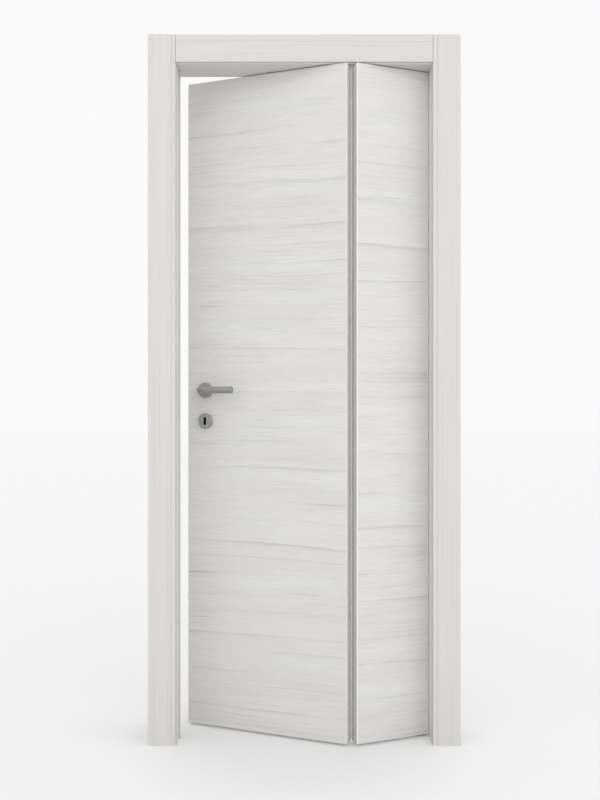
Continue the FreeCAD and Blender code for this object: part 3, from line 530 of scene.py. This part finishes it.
# Black cups in the keyholes, a dark sheet put inside each slot as painted shade. A long-hole outline carried
# along
# a thin cup: down outside, over the closed back and up inside; inset moves the outline in from the slot's
# edge, and at full inset it is the slot's middle line. The outline starts just past its widest point, so no
# point falls between the half circles.
keyholeShadeCupShape = {"half": 0.00475, "reach": 0.0085, "fit": 0.00006, "wall": 0.0007, "lip": 0.0004, "deep": 0.0125,
              "back": 0.001, "height": 0.995, "lockFromFold": 0.4793, "rose": 0.009, "leaf": 0.040,
              "points": 64, "startAngle": 0.01}


def keyholeShadeCup(name, face, way):
    s = keyholeShadeCupShape
    floorDeep = s["deep"] - s["back"]
    inset = np.array([s["wall"], s["fit"], s["fit"], s["half"], s["half"], s["wall"], s["wall"]])
    deep = np.array([s["lip"], s["lip"], s["deep"], s["deep"], floorDeep, floorDeep, s["lip"]])
    angle = np.linspace(0.0, 2 * math.pi, s["points"], endpoint=False) + s["startAngle"]
    radius = (s["half"] - inset)[:, None]
    x = radius * np.cos(angle)
    z = radius * np.sin(angle) + s["reach"] * np.sign(np.sin(angle))
    along, out = np.array(wideAlong), np.array(wideOut)
    base = np.array([foldAxis[0], foldAxis[1], 0.0]) - s["lockFromFold"] * along + face * out
    sets = base + x[..., None] * along + (z + s["height"])[..., None] * np.array(upright) \
        - (way * deep)[:, None, None] * out
    gridPiece(name, sets[None], keyholeShade, "wide_leaf")


keyholeShadeCup("frontKeyholeShade", keyholeShadeCupShape["leaf"] + keyholeShadeCupShape["rose"], 1)
keyholeShadeCup("rearKeyholeShade", -keyholeShadeCupShape["rose"], -1)
print("keyhole liners done")

# Floor, room light and camera. Rays that show the floor see its own colours, darkened near the object as a
# painted shadow, other rays the bounce colours, also darkened near the object as painted shade.
black = (0.0, 0.0, 0.0)
# Painted shadow: the shown floor darkens within "pool" of the object, and its bounce colour within
# "bouncePool".
floorLook = {"half": 150.0, "pool": (0.18, 0.62), "fade": (8.0, 36.0), "poolShadow": (0.783, 0.783, 0.783),
             "near": (0.863, 0.863, 0.863), "far": (0.895, 0.895, 0.895), "bouncePool": (0.2, 1.4),
             "bouncePoolShadow": (0.42, 0.42, 0.42), "bounce": (0.60, 0.60, 0.60),
             "soften": 0.26}  # share of the shown floor that glows, which keeps shadows on it soft
roomLook = {"light": (1.0, 1.0, 1.0), "strength": 0.832, "back": (0.957, 0.957, 0.957)}
lampLook = {"rightLamp": {"from": (0.85, -0.40, 0.25), "strength": 1.34, "spread": 110.0},
            "leftLamp": {"from": (-0.85, -0.40, 0.25), "strength": 0.81, "spread": 110.0}}
cameraLook = {"place": (-0.0131, -2.5704, 1.0631), "lens": 37.5, "sensor": 36.0}


def shownRays(f):  # rays that show the background: straight from the camera, mirrored or through glass
    kinds = ("Is Camera Ray", "Is Glossy Ray", "Is Transmission Ray")
    paths = [f.node("ShaderNodeLightPath", out=kind) for kind in kinds]
    return f.clamp(paths[0] + paths[1] + paths[2])


reach = floorLook["half"]
corners = [(-reach, -reach, 0), (reach, -reach, 0), (reach, reach, 0), (-reach, reach, 0)]
floorMesh = bpy.data.meshes.new("floor")
floorMesh.from_pydata(corners, [], [(0, 1, 2, 3)])
floor = bpy.data.objects.new("floor", floorMesh)
bpy.context.scene.collection.objects.link(floor)
pale = Finish("paleFloor")
away = pale.node("ShaderNodeVectorMath", {"operation": "LENGTH"}, {0: pale.place()}, "Value")
close = pale.blend(pale.rise(away, *floorLook["pool"]), floorLook["poolShadow"], floorLook["near"])
shown = pale.blend(pale.rise(away, *floorLook["fade"]), close, floorLook["far"])
bounce = pale.blend(pale.rise(away, *floorLook["bouncePool"]), floorLook["bouncePoolShadow"], floorLook["bounce"])
seen = shownRays(pale)
lit = pale.blend(seen, bounce, pale.blend(floorLook["soften"], shown, black))
ownGlow = pale.blend(seen * floorLook["soften"], black, shown)
paleFloor = pale.surface({"Base Color": lit, "Emission Color": ownGlow, "Emission Strength": 1.0,
                          "Roughness": 1.0, "Specular IOR Level": 0.0})
floorMesh.materials.append(paleFloor)

world = bpy.data.worlds.new("studio")
bpy.context.scene.world = world
world.use_nodes = True
air = Finish("studio", world.node_tree)
glow = air.node("ShaderNodeBackground", {}, {"Color": roomLook["light"], "Strength": roomLook["strength"]})
back = air.node("ShaderNodeBackground", {}, {"Color": roomLook["back"], "Strength": 1.0})
both = air.node("ShaderNodeMixShader", {}, {0: shownRays(air), 1: glow, 2: back})
air.node("ShaderNodeOutputWorld", {}, {"Surface": both})

for lampName, look in lampLook.items():
    lamp = bpy.data.lights.new(lampName, "SUN")
    lamp.energy = look["strength"]
    lamp.angle = math.radians(look["spread"])
    lampPiece = bpy.data.objects.new(lampName, lamp)
    fx, fy, fz = look["from"]
    tilt = math.acos(fz / math.hypot(fx, fy, fz))
    lampPiece.rotation_euler = (tilt, 0.0, math.atan2(fy, fx) + math.pi / 2)
    bpy.context.scene.collection.objects.link(lampPiece)

lens = bpy.data.cameras.new("camera")
lens.lens = cameraLook["lens"]
lens.sensor_width = cameraLook["sensor"]
camera = bpy.data.objects.new("camera", lens)
camera.location = cameraLook["place"]
camera.rotation_euler = (math.pi / 2, 0, 0)
bpy.context.scene.collection.objects.link(camera)
bpy.context.scene.camera = camera
bpy.context.scene.view_settings.view_transform = "Standard"
print("stage done")
